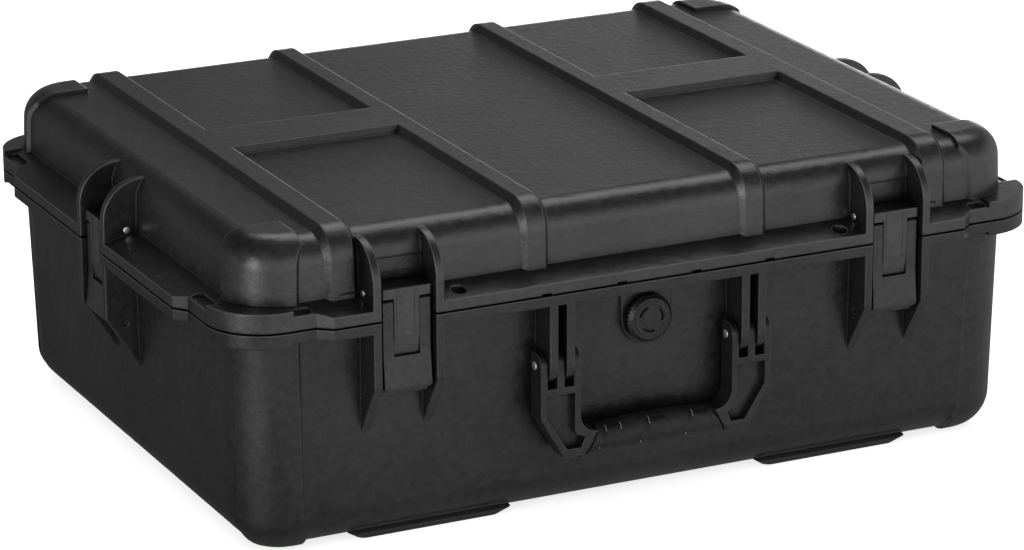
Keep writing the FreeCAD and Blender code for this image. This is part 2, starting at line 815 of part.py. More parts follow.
def latch_body():
    """Frame beside the lever, with a lower plate and a barrel on the pivot pin."""
    back = latch_front + latch_depth
    lower_back = latch_lower_front + latch_lower_depth
    floor = latch_foot_height + latch_floor_thickness
    profile = [(latch_front, latch_top, lever_pin_radius), (back, latch_top, lever_pin_radius)]
    profile += [(back, latch_bend_height, 0), (lower_back, floor, latch_foot_radius)]
    profile += [(pivot_pin_inward, floor, 0), (pivot_pin_inward, latch_foot_height, 0)]
    profile += [(latch_lower_front, latch_foot_height, latch_foot_radius)]
    profile += [(latch_lower_front, floor, latch_bend_radius)]
    profile += [(latch_front, latch_bend_height, latch_bend_radius)]
    width = x_axis * (2 * latch_half_width)
    plate = slab(profile, on_yz(-latch_half_width), width)
    face = [(latch_half_width, latch_top, 0), (-latch_half_width, latch_top, 0)]
    face += [(-latch_half_width, latch_foot_height, latch_corner_radius)]
    face += [(latch_half_width, latch_foot_height, latch_corner_radius)]
    plate = plate.common(slab(face, on_xz(0), y_axis * (pivot_pin_inward + overrun)))
    barrel = cross_pin(latch_barrel_radius, latch_half_width, pivot_pin_inward, pivot_pin_height)
    slot_half_width = lever_half_width + lever_side_gap
    slot_far = vec(slot_half_width, back + overrun, latch_top + overrun)
    slot = box(vec(-slot_half_width, 0, lever_slot_bottom), slot_far)
    pivot_bore = cross_pin(pivot_pin_radius + pin_clearance, overrun, pivot_pin_inward, pivot_pin_height)
    lever_bore = cross_pin(lever_pin_radius, overrun, lever_pin_inward, lever_pin_height)
    return plate.fuse(barrel).cut([slot, pivot_bore, lever_bore]).removeSplitter()


def latch_lever():
    """T-shaped press lever: tongue below, full-width band and claw above."""
    tongue_back = lever_front + lever_thickness
    tongue = [(lever_front, lever_band_bottom, 0), (tongue_back, lever_band_bottom, 0)]
    tongue += [(tongue_back, lever_crease_height, 0), (tongue_back + lever_sweep_back, lever_bottom, 0)]
    tongue += [(lever_front + lever_sweep_back, lever_bottom, 0), (lever_front, lever_crease_height, 0)]
    tongue_width = x_axis * (2 * lever_half_width)
    tongue_slab = slab(tongue, on_yz(-lever_half_width), tongue_width)
    nose_inner = catch_pin_inward + catch_pin_radius + claw_gap
    nose_outer = nose_inner + claw_nose_thickness
    claw_under = lever_top - claw_thickness
    head = [(lever_front, lever_band_bottom, 0), (lever_front, lever_top, claw_thickness / 2)]
    head += [(nose_outer, lever_top, claw_thickness / 2), (nose_outer, claw_tip_height, 0)]
    head += [(nose_inner, claw_tip_height, 0), (nose_inner, claw_under, 0)]
    head += [(tongue_back, claw_under, claw_thickness / 2), (tongue_back, lever_band_bottom, 0)]
    head_slab = slab(head, on_yz(-latch_half_width), x_axis * (2 * latch_half_width))
    boss = cross_pin(lever_boss_radius, lever_half_width, lever_pin_inward, lever_pin_height)
    ridges = []
    for side in (-1, 1):
        start = side * lever_ridge_half_spacing - lever_ridge_width / 2
        low = vec(start, lever_front - lever_ridge_rise, lever_crease_height)
        high = vec(start + lever_ridge_width, lever_front + lever_ridge_rise, lever_top - claw_thickness)
        ridges.append(box(low, high))
    bore = cross_pin(lever_pin_radius + pin_clearance, overrun, lever_pin_inward, lever_pin_height)
    return fused([tongue_slab, head_slab, boss] + ridges).cut(bore)


# Handle, in the front station's frame

def arm_points():
    """Front outline of the right arm with the corner that leads to the grip."""
    inner = bracket_center - arm_half_width
    outer = bracket_center + arm_half_width
    top = handle_pivot_height + arm_top_radius
    points = [(inner, top, 0), (outer, top, 0), (outer, arm_corner_height, arm_rim)]
    points += [(outer - arm_corner_run, handle_bottom, arm_rim)]
    points += [(seam_half_length + seam_lean, handle_bottom, 0)]
    points += [(seam_half_length, grip_top, 0), (inner, grip_top, arm_inner_fillet)]
    return points


def arm_pocket_points():
    inner = bracket_center - arm_half_width + arm_rim
    outer = bracket_center + arm_half_width - arm_rim
    floor = handle_bottom + arm_pocket_floor_rise
    points = [(inner, arm_pocket_top, 0), (outer, arm_pocket_top, 0), (outer, arm_corner_height, 0)]
    points += [(outer - arm_pocket_run, floor, 0), (seam_half_length + arm_pocket_floor_run, floor, 0)]
    points += [(seam_half_length + arm_pocket_tip_run, handle_bottom + arm_pocket_tip_rise, 0)]
    points += [(inner, grip_top, arm_rim)]
    return points


def handle_arm():
    """One arm: three prongs round two bracket ribs, and a hollow front below them."""
    depth = y_axis * handle_thickness
    arm = slab(arm_points(), on_xz(handle_front), depth)
    back = handle_front + handle_thickness
    crown = handle_pivot_inward + arm_top_radius
    top = handle_pivot_height + arm_top_radius
    side_view = [(handle_front, top, arm_top_radius - tolerance), (handle_front, handle_bottom, arm_rim)]
    side_view += [(back, handle_bottom, arm_rim), (back, arm_slot_bottom, 0)]
    side_view += [(crown, handle_pivot_height, 0), (crown, top, arm_top_radius - tolerance)]
    arm = arm.common(slab(side_view, on_yz(0), x_axis * flange_half_width))
    cuts = [slab(arm_pocket_points(), on_xz(handle_front), y_axis * arm_pocket_depth)]
    for side in (-1, 1):
        middle = bracket_center + side * bracket_rib_half_spacing
        half = bracket_rib_thickness / 2 + bracket_rib_gap
        low = vec(middle - half, 0, arm_slot_bottom)
        cuts.append(box(low, vec(middle + half, crown + overrun, top + overrun)))
    bore = rod(handle_pin_radius + pin_clearance, vec(0, handle_pivot_inward, handle_pivot_height),
               vec(flange_half_width, handle_pivot_inward, handle_pivot_height))
    return arm.cut(cuts + [bore])


def grip_middle():
    height = (grip_bottom + grip_top) / 2
    return vec(0, handle_front + handle_thickness / 2, height)


def grip_core():
    middle = grip_middle()
    reach = seam_half_length + seam_lean
    low = vec(-reach, middle.y - grip_core_half_depth, middle.z - grip_core_half_height)
    high = vec(reach, middle.y + grip_core_half_depth, middle.z + grip_core_half_height)
    return box(low, high)


def handle_frame():
    return fused(mirrored_pair(handle_arm()) + [grip_core()])


def handle_grip():
    """Swelling sleeve on the core, cut to the leaning seams of the arms."""
    middle = grip_middle()
    reach = seam_half_length + seam_lean
    sections = []
    for station, swell in zip(grip_station_shares, grip_swell_shares):
        half_height = (grip_top + swell * (grip_crown - grip_top) - grip_bottom) / 2
        half_depth = grip_end_half_depth + swell * (grip_mid_half_depth - grip_end_half_depth)
        center = vec(reach * (2 * station - 1), middle.y, grip_bottom + half_height)
        oval = Part.Ellipse(center + z_axis * half_height, center + y_axis * half_depth, center)
        sections.append(Part.Wire(oval.toShape()))
    sleeve = Part.makeLoft(sections, True, False)
    lean_share = seam_lean / (grip_top - handle_bottom)
    high_reach = seam_half_length - lean_share * overrun
    low_reach = reach + lean_share * overrun
    span = [(-high_reach, grip_top + overrun, 0), (high_reach, grip_top + overrun, 0)]
    span += [(low_reach, handle_bottom - overrun, 0), (-low_reach, handle_bottom - overrun, 0)]
    keep = slab(span, on_xz(-overrun), y_axis * (ear_root + overrun))
    return sleeve.common(keep).cut(grip_core())


# Pressure valve, in the front station's frame

def lathe(points, inward):
    """Turns (radius, depth) points about the valve's axis; depth grows inward."""
    face = Part.Face(outline([(r, d, 0) for r, d in points], lambda p: vec(p.x, p.y, 0)))
    return moved(face.revolve(vec(0, 0, 0), y_axis, 360), vec(0, inward, valve_height))


def valve_body():
    """Flanged bush on the boss, with its barrel through the wall and a stub for the knob."""
    start = valve_boss_inward - valve_flange_thickness
    barrel_end = valve_nut_inward - start + valve_nut_thickness
    radius = valve_bore_radius - pin_clearance
    points = [(0, -valve_stub_length), (valve_stub_radius, -valve_stub_length), (valve_stub_radius, 0)]
    points += [(valve_flange_radius, 0), (valve_flange_radius, valve_flange_thickness)]
    points += [(radius, valve_flange_thickness), (radius, barrel_end), (0, barrel_end)]
    return lathe(points, start).cut(valve_seal())


def valve_seal():
    start = valve_boss_inward - valve_seal_depth
    inner = valve_seal_radius - valve_seal_width
    points = [(inner, 0), (valve_seal_radius, 0)]
    points += [(valve_seal_radius, valve_seal_depth), (inner, valve_seal_depth)]
    return lathe(points, start)


def valve_nut():
    """Six-sided nut on the barrel inside the wall."""
    corners = []
    for side in range(6):
        angle = math.radians(60 * side)
        rise = valve_nut_radius * math.sin(angle)
        corners.append((valve_nut_radius * math.cos(angle), valve_height + rise, 0))
    nut = slab(corners, on_xz(valve_nut_inward), y_axis * valve_nut_thickness)
    hole = rod(valve_bore_radius, vec(0, 0, valve_height), vec(0, ear_root + overrun, valve_height))
    return nut.cut(hole)


def valve_knob():
    """Bevelled knob with a raised ring and disc, three arc slots and a notched rim."""
    depth = valve_boss_inward - valve_flange_thickness - knob_gap - knob_inward
    socket_radius = valve_stub_radius + pin_clearance
    socket_depth = depth + knob_gap - valve_stub_length - pin_clearance
    points = [(0, 0), (knob_face_radius, 0), (knob_radius, knob_bevel), (knob_radius, depth)]
    points += [(socket_radius, depth), (socket_radius, socket_depth), (0, socket_depth)]
    knob = lathe(points, knob_inward)
    ring = [(knob_ring_outer, -knob_ring_rise), (knob_ring_outer, 0)]
    ring += [(knob_ring_outer - knob_ring_width, 0), (knob_ring_outer - knob_ring_width, -knob_ring_rise)]
    disc = [(0, -knob_disc_rise), (knob_disc_radius, -knob_disc_rise), (knob_disc_radius, 0), (0, 0)]
    knob = knob.fuse([lathe(ring, knob_inward), lathe(disc, knob_inward)])
    slot = [(knob_slot_radius - knob_slot_width, 0), (knob_slot_radius, 0)]
    slot += [(knob_slot_radius, knob_slot_depth), (knob_slot_radius - knob_slot_width, knob_slot_depth)]
    slot_face = Part.Face(outline([(r, d, 0) for r, d in slot], lambda p: vec(p.x, p.y, 0)))
    arc_slot = slot_face.revolve(vec(0, 0, 0), y_axis, knob_slot_sweep)
    cuts = []
    for turn in range(knob_slot_count):
        copy = arc_slot.copy()
        copy.rotate(vec(0, 0, 0), y_axis, knob_slot_start + 360 * turn / knob_slot_count)
        cuts.append(moved(copy, vec(0, knob_inward, valve_height)))
    for turn in range(knob_notch_count):
        angle = math.radians(360 * turn / knob_notch_count)
        rise = knob_radius * math.sin(angle)
        spot = vec(knob_radius * math.cos(angle), knob_inward, valve_height + rise)
        cuts.append(rod(knob_notch_radius, spot - y_axis * overrun, spot + y_axis * overrun))
    return knob.cut(cuts)


# Saving

def save(name, shape):
    placed = moved(shape, vec(0, body_shift, 0))
    placed.exportStep("parts/" + name + ".step")


def main():
    os.makedirs("parts", exist_ok=True)
    save("base_shell", base_shell())
    save("lid_shell", lid_shell())
    save("lid_gasket", lid_gasket())

    hinge_pin = cross_pin(hinge_pin_radius, hinge_half_length, hinge_reach, parting_height)
    for side, pin in zip(("right", "left"), hinge_stations(hinge_pin)):
        save("hinge_pin_" + side, pin)

    ear_reach = ear_gap / 2 + ear_thickness
    latch_pieces = {
        "body": latch_body(),
        "lever": latch_lever(),
        "lever_pin": cross_pin(lever_pin_radius, latch_half_width, lever_pin_inward, lever_pin_height),
        "pivot_pin": cross_pin(pivot_pin_radius, ear_reach - pivot_pin_recess,
                               pivot_pin_inward, pivot_pin_height),
        "catch_pin": cross_pin(catch_pin_radius, ear_reach, catch_pin_inward, catch_pin_height),
    }
    for spot_name, spot in latch_spots.items():
        for piece_name, piece in latch_pieces.items():
            save("latch_" + spot_name + "_" + piece_name, at_spot(piece, spot))

    save("handle_frame", at_spot(handle_frame(), front_spot))
    save("handle_grip", at_spot(handle_grip(), front_spot))
    pin_start = vec(bracket_center - arm_half_width, handle_pivot_inward, handle_pivot_height)
    handle_pin = rod(handle_pin_radius, pin_start, pin_start + x_axis * (2 * arm_half_width))
    for side, pin in zip(("right", "left"), mirrored_pair(handle_pin)):
        save("handle_pin_" + side, at_spot(pin, front_spot))

    save("valve_body", at_spot(valve_body(), front_spot))
    save("valve_seal", at_spot(valve_seal(), front_spot))
    save("valve_nut", at_spot(valve_nut(), front_spot))
    save("valve_knob", at_spot(valve_knob(), front_spot))


if __name__ == "__main__":
    main()
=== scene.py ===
import json
import math

import bmesh
import bpy
from mathutils import Matrix, Vector
from mathutils.bvhtree import BVHTree


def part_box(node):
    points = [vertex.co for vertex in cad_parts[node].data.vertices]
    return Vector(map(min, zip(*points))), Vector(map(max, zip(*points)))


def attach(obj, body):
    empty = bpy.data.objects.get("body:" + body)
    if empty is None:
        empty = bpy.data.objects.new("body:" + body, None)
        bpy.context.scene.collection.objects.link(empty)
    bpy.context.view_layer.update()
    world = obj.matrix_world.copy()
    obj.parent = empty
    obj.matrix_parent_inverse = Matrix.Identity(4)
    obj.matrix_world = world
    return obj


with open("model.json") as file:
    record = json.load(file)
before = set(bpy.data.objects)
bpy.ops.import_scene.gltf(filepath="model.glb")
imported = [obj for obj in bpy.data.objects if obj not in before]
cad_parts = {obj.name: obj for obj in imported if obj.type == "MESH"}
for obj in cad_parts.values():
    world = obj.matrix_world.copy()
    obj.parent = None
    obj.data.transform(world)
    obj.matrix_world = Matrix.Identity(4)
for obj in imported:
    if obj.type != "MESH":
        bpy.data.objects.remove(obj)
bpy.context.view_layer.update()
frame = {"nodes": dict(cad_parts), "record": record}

# Lengths are metres in the frame's own axes: front faces -Y, +Z is up.

# Camera, solved from the photograph's straight edges
camera_place = (-1.2663, -2.6261, 1.0581)
camera_yaw = 25.8666
camera_pitch = 18.3833
camera_roll = -0.2348
camera_lens = 157.66
camera_sensor = 36.0
camera_far = 60.0

# Floor
floor_size = 14.0
floor_gray = 0.93
floor_fibre_gray = 0.9
floor_fibre_share = 0.2
floor_roughness = 0.9
floor_glow = 0.75

# Sky: strengths, and the spans of a direction's X, Y and Z that they run over
world_left = 0.5
world_right = 0.62
world_across_span = (-0.5, 0.5)
world_front_share = 1.9
world_back_share = 0.25
world_depth_span = (-0.9, 0.9)
world_top_share = 0.2
world_rise_span = (0.2, 0.6)
world_low_share = 0.6
world_level_share = 1.2
world_low_span = (-0.4, -0.22)

# Two soft patches in the sky: direction, strength, and the dot products over which each fades in
corner_glow = ((-0.86, -0.40, -0.30), 0.72, (0.86, 0.97))
horizon_glow = ((0.52, 0.85, -0.06), 3.0, (0.972, 0.995))

# Lights: name, place, target, size, power in watts, and whether the plastic mirrors it
studio_lights = (
    ("overhead", (0.8, 0.8, 2.1), (0, 0.1, 0.15), (2.2, 1.1), 18, True),
    ("left_strip", (-2.3, -1.3, 0.5), (0, 0, 0.12), (0.5, 1.4), 14, True),
    ("floor_light", (0, -0.3, 2.6), (0, 0, 0), (4.5, 4.5), 45, False),
)

# Noises: width of one feature, detail and roughness; the span is the middle of a noise's range
noise_span = (0.3, 0.7)
grain_noise = (0.0014, 2.0, 0.6)
mottle_noise = (0.005, 2.0, 0.5)
cloud_noise = (0.06, 3.0, 0.5)
scratch_noise = (0.0004, 3.0, 0.6)
tarnish_noise = (0.003, 3.0, 0.6)
speck_noise = (0.0015, 4.0, 0.65)
fibre_noise = (0.01, 3.0, 0.5)

# Rays that each rounded edge or crease takes
shading_samples = 6

# Moulded plastic
grain_depth = 0.0002
mottle_depth = 0.0006
mottle_strength = 0.3
mottle_roughness = 0.04
mottle_sheen_shares = (0.92, 1.08)
cloud_sheen_shares = (0.9, 1.1)
cloud_color_share = 0.35
cloud_light_share = 1.25
shell_edge_radius = 0.0018
small_edge_radius = 0.0007
edge_turn_span = (0.75, 0.99)
# Lighter edges: partly wear, partly a painted highlight, less in creases and less where an edge looks
# down
edge_wear_and_highlight_gray = 0.14
edge_wear_and_highlight_share = 0.7
edge_mark_open_span = (0.75, 0.95)
edge_highlight_rise_span = (-0.1, 0.4)
edge_highlight_under_share = 0.1
# Painted shade in creases: less sheen where ambient occlusion finds nearby surfaces
crease_shade_reach = 0.009
crease_shade_open_span = (0.38, 0.76)
crease_shade_share = 0.08
under_span = (-0.5, -0.2)

# Plastic finishes: dark gray, light gray, roughness, gloss, edge radius, strength of the grain
plastic_finishes = {
    "shell_plastic": (0.003, 0.007, 0.32, 0.65, shell_edge_radius, 0.55),
    "base_plastic": (0.003, 0.007, 0.33, 0.4, shell_edge_radius, 0.55),
    "latch_plastic": (0.007, 0.014, 0.34, 0.41, small_edge_radius, 0.7),
    "lever_plastic": (0.012, 0.022, 0.34, 0.5, small_edge_radius, 0.7),
    "handle_plastic": (0.003, 0.007, 0.36, 0.36, small_edge_radius, 0.7),
    "grip_rubber": (0.003, 0.007, 0.42, 0.25, small_edge_radius, 0.7),
    "valve_plastic": (0.003, 0.007, 0.36, 0.32, small_edge_radius, 0.3),
    "blackened_pin": (0.01, 0.02, 0.4, 0.3, small_edge_radius, 0.2),
    # The last two are painted: a near-black shadow for the grip's joints and a lighter gray highlight for
    # its nibs
    "joint_shadow": (0.001, 0.002, 0.6, 0.02, small_edge_radius, 0.2),
    "highlight_rubber": (0.05, 0.09, 0.4, 0.5, small_edge_radius, 0.2),
}

# Painted shadow on the faces of the levers that look up
painted_shadow_gray = 0.002
painted_shadow_rise_span = (0.5, 0.8)
painted_shadow_sheen_share = 0.1

# Painted shade on the lower part of the base, darker towards the bottom by height, and painted light in
# the creases around the foot pads
foot_sheen_share = 0.62
wall_sheen_share = 1.05
foot_height_span = (0.0, 0.11)
pad_sheen_share = 0.5
pad_height_span = (0.003, 0.012)
crease_lift_gray = 0.05
lift_height_span = (0.008, 0.016)
lift_open_span = (0.5, 0.9)

# Steel pins
scratch_depth = 0.0001
scratch_strength = 0.1
steel_roughness = (0.32, 0.5)
steel_gray = 0.92
tarnish_gray = 0.78
steel_edge_radius = 0.0004

# Ring seals
speck_depth = 0.0003
speck_strength = 0.25
seal_grays = (0.028, 0.05)
seal_roughness = (0.7, 0.9)
seal_edge_radius = 0.0006

# Peened pin ends: shares of the cap's radius and rise, from the neck to the crown
cap_shares = ((0.78, -0.4), (0.78, 0.08), (1.0, 0.12), (1.0, 0.35), (0.86, 0.7), (0.55, 0.93), (0.2, 1.0))
cap_steps = 24
cap_rise = 0.0007
cap_spread = 1.2

# Raised pads on the grip: left and right ends, below and then above, along X
grip_pads = (((-0.0425, -0.0206), (-0.0370, -0.0262)),
             ((-0.0129, 0.0128), (-0.0064, 0.0060)),
             ((0.0198, 0.0408), (0.0252, 0.0375)))
pad_angles = (-30.0, 60.0)
pad_rise = 0.0009
pad_sink = 0.0003
pad_row_shares = (0.0, 0.05, 0.25, 0.5, 0.75, 0.95, 1.0)
pad_column_shares = (0.0, 0.04, 0.25, 0.5, 0.75, 0.96, 1.0)
probe_reach = 0.06

# Dark strips at both ends of the grip, a painted shadow in its joints, and lighter nibs at the corners of
# its pads, painted highlights
grip_seams = (((-0.0512, -0.0499), (-0.0432, -0.0419)),
              ((0.0499, 0.0512), (0.0419, 0.0432)))
seam_angles = (-60.0, 40.0)
seam_rise = 0.0003
high_nibs = (-0.0366, -0.0262, -0.0060, 0.0256)
high_nib_angles = (34.0, 64.0)
low_nibs = (-0.0421, -0.0125, 0.0202)
low_nib_angles = (-33.0, -27.0)
nib_width = 0.0006
nib_rise = 0.0012


# Node helpers, which also build the sky's nodes

def gray(value):
    return (value, value, value, 1.0)


def new_material(name):
    material = bpy.data.materials.new(name)
    material.use_nodes = True
    nodes = material.node_tree.nodes
    nodes.clear()
    output = nodes.new("ShaderNodeOutputMaterial")
    shader = nodes.new("ShaderNodeBsdfPrincipled")
    material.node_tree.links.new(shader.outputs["BSDF"], output.inputs["Surface"])
    return material, shader


def add(material, kind, **values):
    """New node whose properties or input sockets take the given values."""
    node = material.node_tree.nodes.new(kind)
    for name, value in values.items():
        if name in node.inputs.keys():
            node.inputs[name].default_value = value
        else:
            setattr(node, name, value)
    return node


def link(material, source, target):
    material.node_tree.links.new(source, target)


def noise(material, size, detail, roughness):
    """Noise in the object's own metres; size is one feature's width."""
    place = add(material, "ShaderNodeTexCoord")
    texture = add(material, "ShaderNodeTexNoise", Scale=1 / size, Detail=detail, Roughness=roughness)
    link(material, place.outputs["Object"], texture.inputs["Vector"])
    return texture.outputs["Fac"]


def ramp(material, source, low, high, span=noise_span):
    """Runs from low to high while the source runs over the span."""
    node = add(material, "ShaderNodeMapRange")
    node.inputs["From Min"].default_value = span[0]
    node.inputs["From Max"].default_value = span[1]
    node.inputs["To Min"].default_value = low
    node.inputs["To Max"].default_value = high
    link(material, source, node.inputs["Value"])
    return node.outputs["Result"]


def combined(material, operation, first, second):
    node = add(material, "ShaderNodeMath", operation=operation)
    link(material, first, node.inputs[0])
    link(material, second, node.inputs[1])
    return node.outputs["Value"]


def multiplied(material, first, second):
    return combined(material, "MULTIPLY", first, second)


def mixed_color(material, factor, first, second):
    node = add(material, "ShaderNodeMix", data_type="RGBA")
    link(material, factor, node.inputs["Factor"])
    for socket, color in zip((node.inputs[6], node.inputs[7]), (first, second)):
        if isinstance(color, tuple):
            socket.default_value = color
        else:
            link(material, color, socket)
    return node.outputs[2]


def bumped(material, height, strength, distance, normal):
    node = add(material, "ShaderNodeBump", Strength=strength, Distance=distance)
    link(material, height, node.inputs["Height"])
    link(material, normal, node.inputs["Normal"])
    return node.outputs["Normal"]


def rise_of(material, vector):
    """Z part of a vector."""
    split = add(material, "ShaderNodeSeparateXYZ")
    link(material, vector, split.inputs["Vector"])
    return split.outputs["Z"]


def rounded_normal(material, radius):
    return add(material, "ShaderNodeBevel", samples=shading_samples, Radius=radius).outputs["Normal"]


def edge_mask(material, normal):
    """How far a rounded normal turns from the surface's own."""
    surface = add(material, "ShaderNodeNewGeometry")
    dot = add(material, "ShaderNodeVectorMath", operation="DOT_PRODUCT")
    link(material, normal, dot.inputs[0])
    link(material, surface.outputs["Normal"], dot.inputs[1])
    return ramp(material, dot.outputs["Value"], 1.0, 0.0, edge_turn_span)


def replaced_input(material, name):
    """The shader's input of that name, and what feeds it now."""
    socket = material.node_tree.nodes["Principled BSDF"].inputs[name]
    return socket, socket.links[0].from_socket


# Materials

def worn_and_highlit_edges(material, normal, openness):
    """Where edges are lightened, partly by wear and partly as a painted highlight: in the open, and less
    where they look down.
    """
    in_open = ramp(material, openness, 0.0, 1.0, edge_mark_open_span)
    lightened_edges = multiplied(material, edge_mask(material, normal), in_open)
    upward = ramp(material, rise_of(material, normal), edge_highlight_under_share, 1.0, edge_highlight_rise_span)
    return multiplied(material, lightened_edges, upward)


def open_faces(material, openness):
    """How open a face lies; faces that look down count as open."""
    surface = add(material, "ShaderNodeNewGeometry")
    under = ramp(material, rise_of(material, surface.outputs["Normal"]), 1.0, 0.0, under_span)
    clear = ramp(material, openness, 0.0, 1.0, crease_shade_open_span)
    return combined(material, "MAXIMUM", clear, under)


def moulded_plastic(name):
    """Black moulded plastic: fine grain, mottled gloss, edges lightened by wear and a painted highlight,
    and painted shade that dulls the creases.
    """
    dark, light, roughness, gloss, edge_radius, grain_strength = plastic_finishes[name]
    material, shader = new_material(name)
    grain = noise(material, *grain_noise)
    mottle = noise(material, *mottle_noise)
    cloud = noise(material, *cloud_noise)
    normal = rounded_normal(material, edge_radius)
    crease = add(material, "ShaderNodeAmbientOcclusion", samples=shading_samples, Distance=crease_shade_reach)
    openness = crease.outputs["AO"]
    lightened_edges = worn_and_highlit_edges(material, normal, openness)
    base = mixed_color(material, ramp(material, mottle, 0.0, 1.0), gray(dark), gray(light))
    faded = gray(light * cloud_light_share)
    base = mixed_color(material, ramp(material, cloud, 0.0, cloud_color_share), base, faded)
    lightened_edges = ramp(material, lightened_edges, 0.0, edge_wear_and_highlight_share, (0.0, 1.0))
    # Painted highlight, with some wear: edges mixed toward a lighter gray
    link(material, mixed_color(material, lightened_edges, base, gray(edge_wear_and_highlight_gray)), shader.inputs["Base Color"])
    gloss_noise = ramp(material, mottle, roughness - mottle_roughness, roughness + mottle_roughness)
    link(material, gloss_noise, shader.inputs["Roughness"])
    normal = bumped(material, mottle, mottle_strength, mottle_depth, normal)
    normal = bumped(material, grain, grain_strength, grain_depth, normal)
    link(material, normal, shader.inputs["Normal"])
    # Painted shade: the sheen drops in creases, by ambient occlusion
    sheen = ramp(material, open_faces(material, openness), gloss * crease_shade_share, gloss, (0.0, 1.0))
    sheen = multiplied(material, sheen, ramp(material, mottle, *mottle_sheen_shares))
    sheen = multiplied(material, sheen, ramp(material, cloud, *cloud_sheen_shares))
    link(material, sheen, shader.inputs["Specular IOR Level"])
    return material


def shade_lever_tops(material):
    """Painted shadow: takes the sheen off faces that look up and darkens them, for the shade behind the
    latch band.
    """
    surface = add(material, "ShaderNodeNewGeometry")
    rise = rise_of(material, surface.outputs["True Normal"])
    unshaded = ramp(material, rise, 1.0, painted_shadow_sheen_share, painted_shadow_rise_span)
    socket, sheen = replaced_input(material, "Specular IOR Level")
    link(material, multiplied(material, sheen, unshaded), socket)
    socket, base = replaced_input(material, "Base Color")
    link(material, mixed_color(material, unshaded, gray(painted_shadow_gray), base), socket)


def shade_foot_and_lift_creases(material):
    """Painted shade on the lower part of the base, darker towards the bottom, with painted light that
    lightens the creases around the foot pads.
    """
    place = add(material, "ShaderNodeTexCoord")
    height = rise_of(material, place.outputs["Object"])
    socket, sheen = replaced_input(material, "Specular IOR Level")
    # Painted shade: less sheen towards the bottom of the base and under the pads
    lower_shade = ramp(material, height, foot_sheen_share, wall_sheen_share, foot_height_span)
    pads = ramp(material, height, pad_sheen_share, 1.0, pad_height_span)
    link(material, multiplied(material, multiplied(material, sheen, lower_shade), pads), socket)
    crease = next(node for node in material.node_tree.nodes if node.type == "AMBIENT_OCCLUSION")
    # Painted light: a lighter gray in the creases near the floor, lifting their shade
    lift = multiplied(material, ramp(material, height, 1.0, 0.0, lift_height_span),
                      ramp(material, crease.outputs["AO"], 1.0, 0.0, lift_open_span))
    socket, base = replaced_input(material, "Base Color")
    link(material, mixed_color(material, lift, base, gray(crease_lift_gray)), socket)


def bright_steel(name):
    """Drawn steel pin with fine scratches and a little tarnish."""
    material, shader = new_material(name)
    scratches = noise(material, *scratch_noise)
    tarnish = noise(material, *tarnish_noise)
    normal = rounded_normal(material, steel_edge_radius)
    base = mixed_color(material, ramp(material, tarnish, 0.0, 1.0), gray(steel_gray), gray(tarnish_gray))
    link(material, base, shader.inputs["Base Color"])
    shader.inputs["Metallic"].default_value = 1.0
    link(material, ramp(material, scratches, *steel_roughness), shader.inputs["Roughness"])
    normal = bumped(material, scratches, scratch_strength, scratch_depth, normal)
    link(material, normal, shader.inputs["Normal"])
    return material


def seal_rubber(name):
    """Dull, speckled rubber of the ring seals."""
    material, shader = new_material(name)
    specks = noise(material, *speck_noise)
    normal = rounded_normal(material, seal_edge_radius)
    dark, light = seal_grays
    base = mixed_color(material, ramp(material, specks, 0.0, 1.0), gray(dark), gray(light))
    link(material, base, shader.inputs["Base Color"])
    link(material, ramp(material, specks, *seal_roughness), shader.inputs["Roughness"])
    normal = bumped(material, specks, speck_strength, speck_depth, normal)
    link(material, normal, shader.inputs["Normal"])
    return material


def all_finishes():
    finishes = {name: moulded_plastic(name) for name in plastic_finishes}
    finishes["pin_steel"] = bright_steel("pin_steel")
    finishes["seal_rubber"] = seal_rubber("seal_rubber")
    shade_lever_tops(finishes["lever_plastic"])
    shade_foot_and_lift_creases(finishes["base_plastic"])
    return finishes


def finish_name(node, slot):
    """The record's slot, or a variant of it for the base, the levers and the pivot pins."""
    if node == "base_shell":
        return "base_plastic"
    if node.endswith("lever"):
        return "lever_plastic"
    if node.endswith("pivot_pin"):
        return "blackened_pin"
    return slot


def paint_nodes(finishes):
    slots = {part["node"]: part["material_slot"] for part in frame["record"]["subparts"]}
    for name, node in frame["nodes"].items():
        for slot in node.material_slots:
            slot.material = finishes[finish_name(name, slots[name])]


# Detail pieces

def finished_piece(name, form, body, material):
    mesh = bpy.data.meshes.new(name)
    bmesh.ops.recalc_face_normals(form, faces=form.faces)
    form.to_mesh(mesh)
    form.free()
    for face in mesh.polygons:
        face.use_smooth = True
    mesh.materials.append(material)
    piece = bpy.data.objects.new(name, mesh)
    bpy.context.collection.objects.link(piece)
    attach(piece, body)


def bridged(form, rows, closed):
    """Faces between neighbouring rows of vertices."""
    for low, high in zip(rows, rows[1:]):
        count = len(low)
        for step in range(count if closed else count - 1):
            after = (step + 1) % count
            form.faces.new((low[step], low[after], high[after], high[step]))


def domed_cap(name, center, axis, radius, body, material):
    """Peened end of a pin: a neck in the pin and a low dome over it."""
    side = axis.orthogonal().normalized()
    other = axis.cross(side)
    angles = [2 * math.pi * step / cap_steps for step in range(cap_steps)]
    spokes = [side * math.cos(angle) + other * math.sin(angle) for angle in angles]
    form = bmesh.new()
    rings = []
    for width_share, rise_share in cap_shares:
        middle = center + axis * cap_rise * rise_share
        rings.append([form.verts.new(middle + spoke * radius * width_share) for spoke in spokes])
    bridged(form, rings, True)
    form.faces.new(rings[0])
    form.faces.new(rings[-1])
    finished_piece(name, form, body, material)


